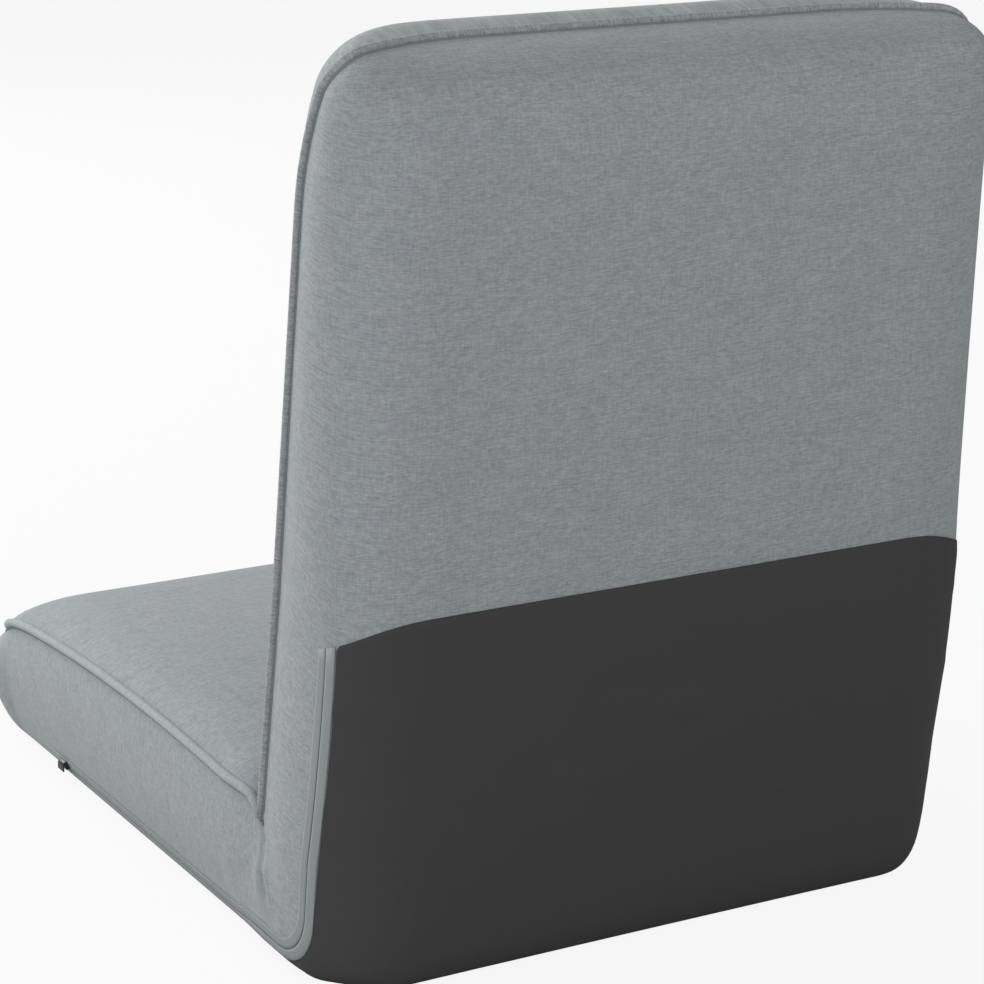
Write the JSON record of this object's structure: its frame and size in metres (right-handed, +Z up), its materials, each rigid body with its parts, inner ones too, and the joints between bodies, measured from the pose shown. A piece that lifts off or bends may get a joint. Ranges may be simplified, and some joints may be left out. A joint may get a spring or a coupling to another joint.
{
  "type": "folding floor chair",
  "caption": "Legless floor chair with a padded seat and a padded back that folds at the heel, in light grey woven cloth with piped edges and a dark base",
  "frame": {"origin": "on the floor, under the middle of the whole chair's bounding box", "axes": "+X to the sitter's left, -Y the way the sitter faces, +Z up"},
  "size_m": [0.5156, 0.6996, 0.629],
  "materials": {
    "cover_cloth": "matte",
    "piping_twill": "matte",
    "base_cloth": "matte",
    "zip_tape": "matte",
    "cushion_foam": "matte",
    "elastic_webbing": "matte",
    "frame_tube": "satin",
    "hinge_steel": "satin",
    "zip_metal": "satin"
  },
  "bodies": {
    "seat": {"crease_foam": "cushion_foam", "crease_gusset_left": "cover_cloth", "crease_gusset_right": "cover_cloth", "crease_panel": "cover_cloth", "crease_piping_left": "piping_twill", "crease_piping_right": "piping_twill", "heel_foam": "cushion_foam", "heel_gusset_left": "cover_cloth", "heel_gusset_right": "cover_cloth", "heel_panel": "base_cloth", "heel_zip_lower_tape": "zip_tape", "heel_zip_upper_tape": "zip_tape", "left_inner_cheek": "hinge_steel", "left_outer_cheek": "hinge_steel", "left_pawl_pin": "hinge_steel", "left_pawl_spring": "hinge_steel", "left_pivot_rivet": "hinge_steel", "left_seat_tube_rivet": "hinge_steel", "right_inner_cheek": "hinge_steel", "right_outer_cheek": "hinge_steel", "right_pawl_pin": "hinge_steel", "right_pawl_spring": "hinge_steel", "right_pivot_rivet": "hinge_steel", "right_seat_tube_rivet": "hinge_steel", "seat_base_panel": "base_cloth", "seat_cross_tube": "frame_tube", "seat_foam_lower": "cushion_foam", "seat_foam_upper": "cushion_foam", "seat_frame_tube": "frame_tube", "seat_piping": "piping_twill", "seat_side_band": "cover_cloth", "seat_top_panel": "cover_cloth", "seat_webbing_1": "elastic_webbing", "seat_webbing_2": "elastic_webbing", "seat_webbing_3": "elastic_webbing", "seat_zip_lower_tape": "zip_tape", "seat_zip_upper_tape": "zip_tape"},
    "back": {"back_cross_tube": "frame_tube", "back_foam_front": "cushion_foam", "back_foam_rear": "cushion_foam", "back_frame_tube": "frame_tube", "back_front_panel": "cover_cloth", "back_lower_panel": "base_cloth", "back_piping": "piping_twill", "back_side_band": "cover_cloth", "back_upper_panel": "cover_cloth", "back_webbing_1": "elastic_webbing", "back_webbing_2": "elastic_webbing", "back_webbing_3": "elastic_webbing", "back_zip_lower_tape": "zip_tape", "back_zip_upper_tape": "zip_tape", "left_back_tube_rivet": "hinge_steel", "left_ratchet_plate": "hinge_steel", "right_back_tube_rivet": "hinge_steel", "right_ratchet_plate": "hinge_steel"},
    "left_pawl": {"left_pawl": "hinge_steel"},
    "right_pawl": {"right_pawl": "hinge_steel"},
    "zip_slider": {"zip_slider": "zip_metal"},
    "zip_pull": {"zip_pull": "zip_metal"}
  },
  "joints": [
    {"name": "back_fold", "type": "hinge", "parent": "seat", "child": "back", "pos_m": [0, 0.2268, 0.058], "axis": [1, 0, 0], "range_deg": [-80, 48], "deforming": ["crease_foam", "heel_foam", "crease_panel", "crease_gusset_left", "crease_gusset_right", "heel_gusset_left", "heel_gusset_right", "heel_panel", "crease_piping_left", "crease_piping_right", "heel_zip_lower_tape", "heel_zip_upper_tape"]},
    {"name": "left_pawl_lift", "type": "hinge", "parent": "seat", "child": "left_pawl", "pos_m": [0.205, 0.1958, 0.045], "axis": [-1, 0, 0], "range_deg": [0, 12], "stiffness_Nm_per_rad": 0.02, "springref_deg": -28.65},
    {"name": "right_pawl_lift", "type": "hinge", "parent": "seat", "child": "right_pawl", "pos_m": [-0.205, 0.1958, 0.045], "axis": [-1, 0, 0], "range_deg": [0, 12], "stiffness_Nm_per_rad": 0.02, "springref_deg": -28.65},
    {"name": "zip_slide", "type": "slide", "parent": "seat", "child": "zip_slider", "axis": [0, 1, 0], "range_m": [0, 0.29]},
    {"name": "zip_pull_swing", "type": "hinge", "parent": "zip_slider", "child": "zip_pull", "pos_m": [0.25295, -0.17782, 0.02239], "axis": [0, 0, -1], "range_deg": [0, 150]}
  ]
}
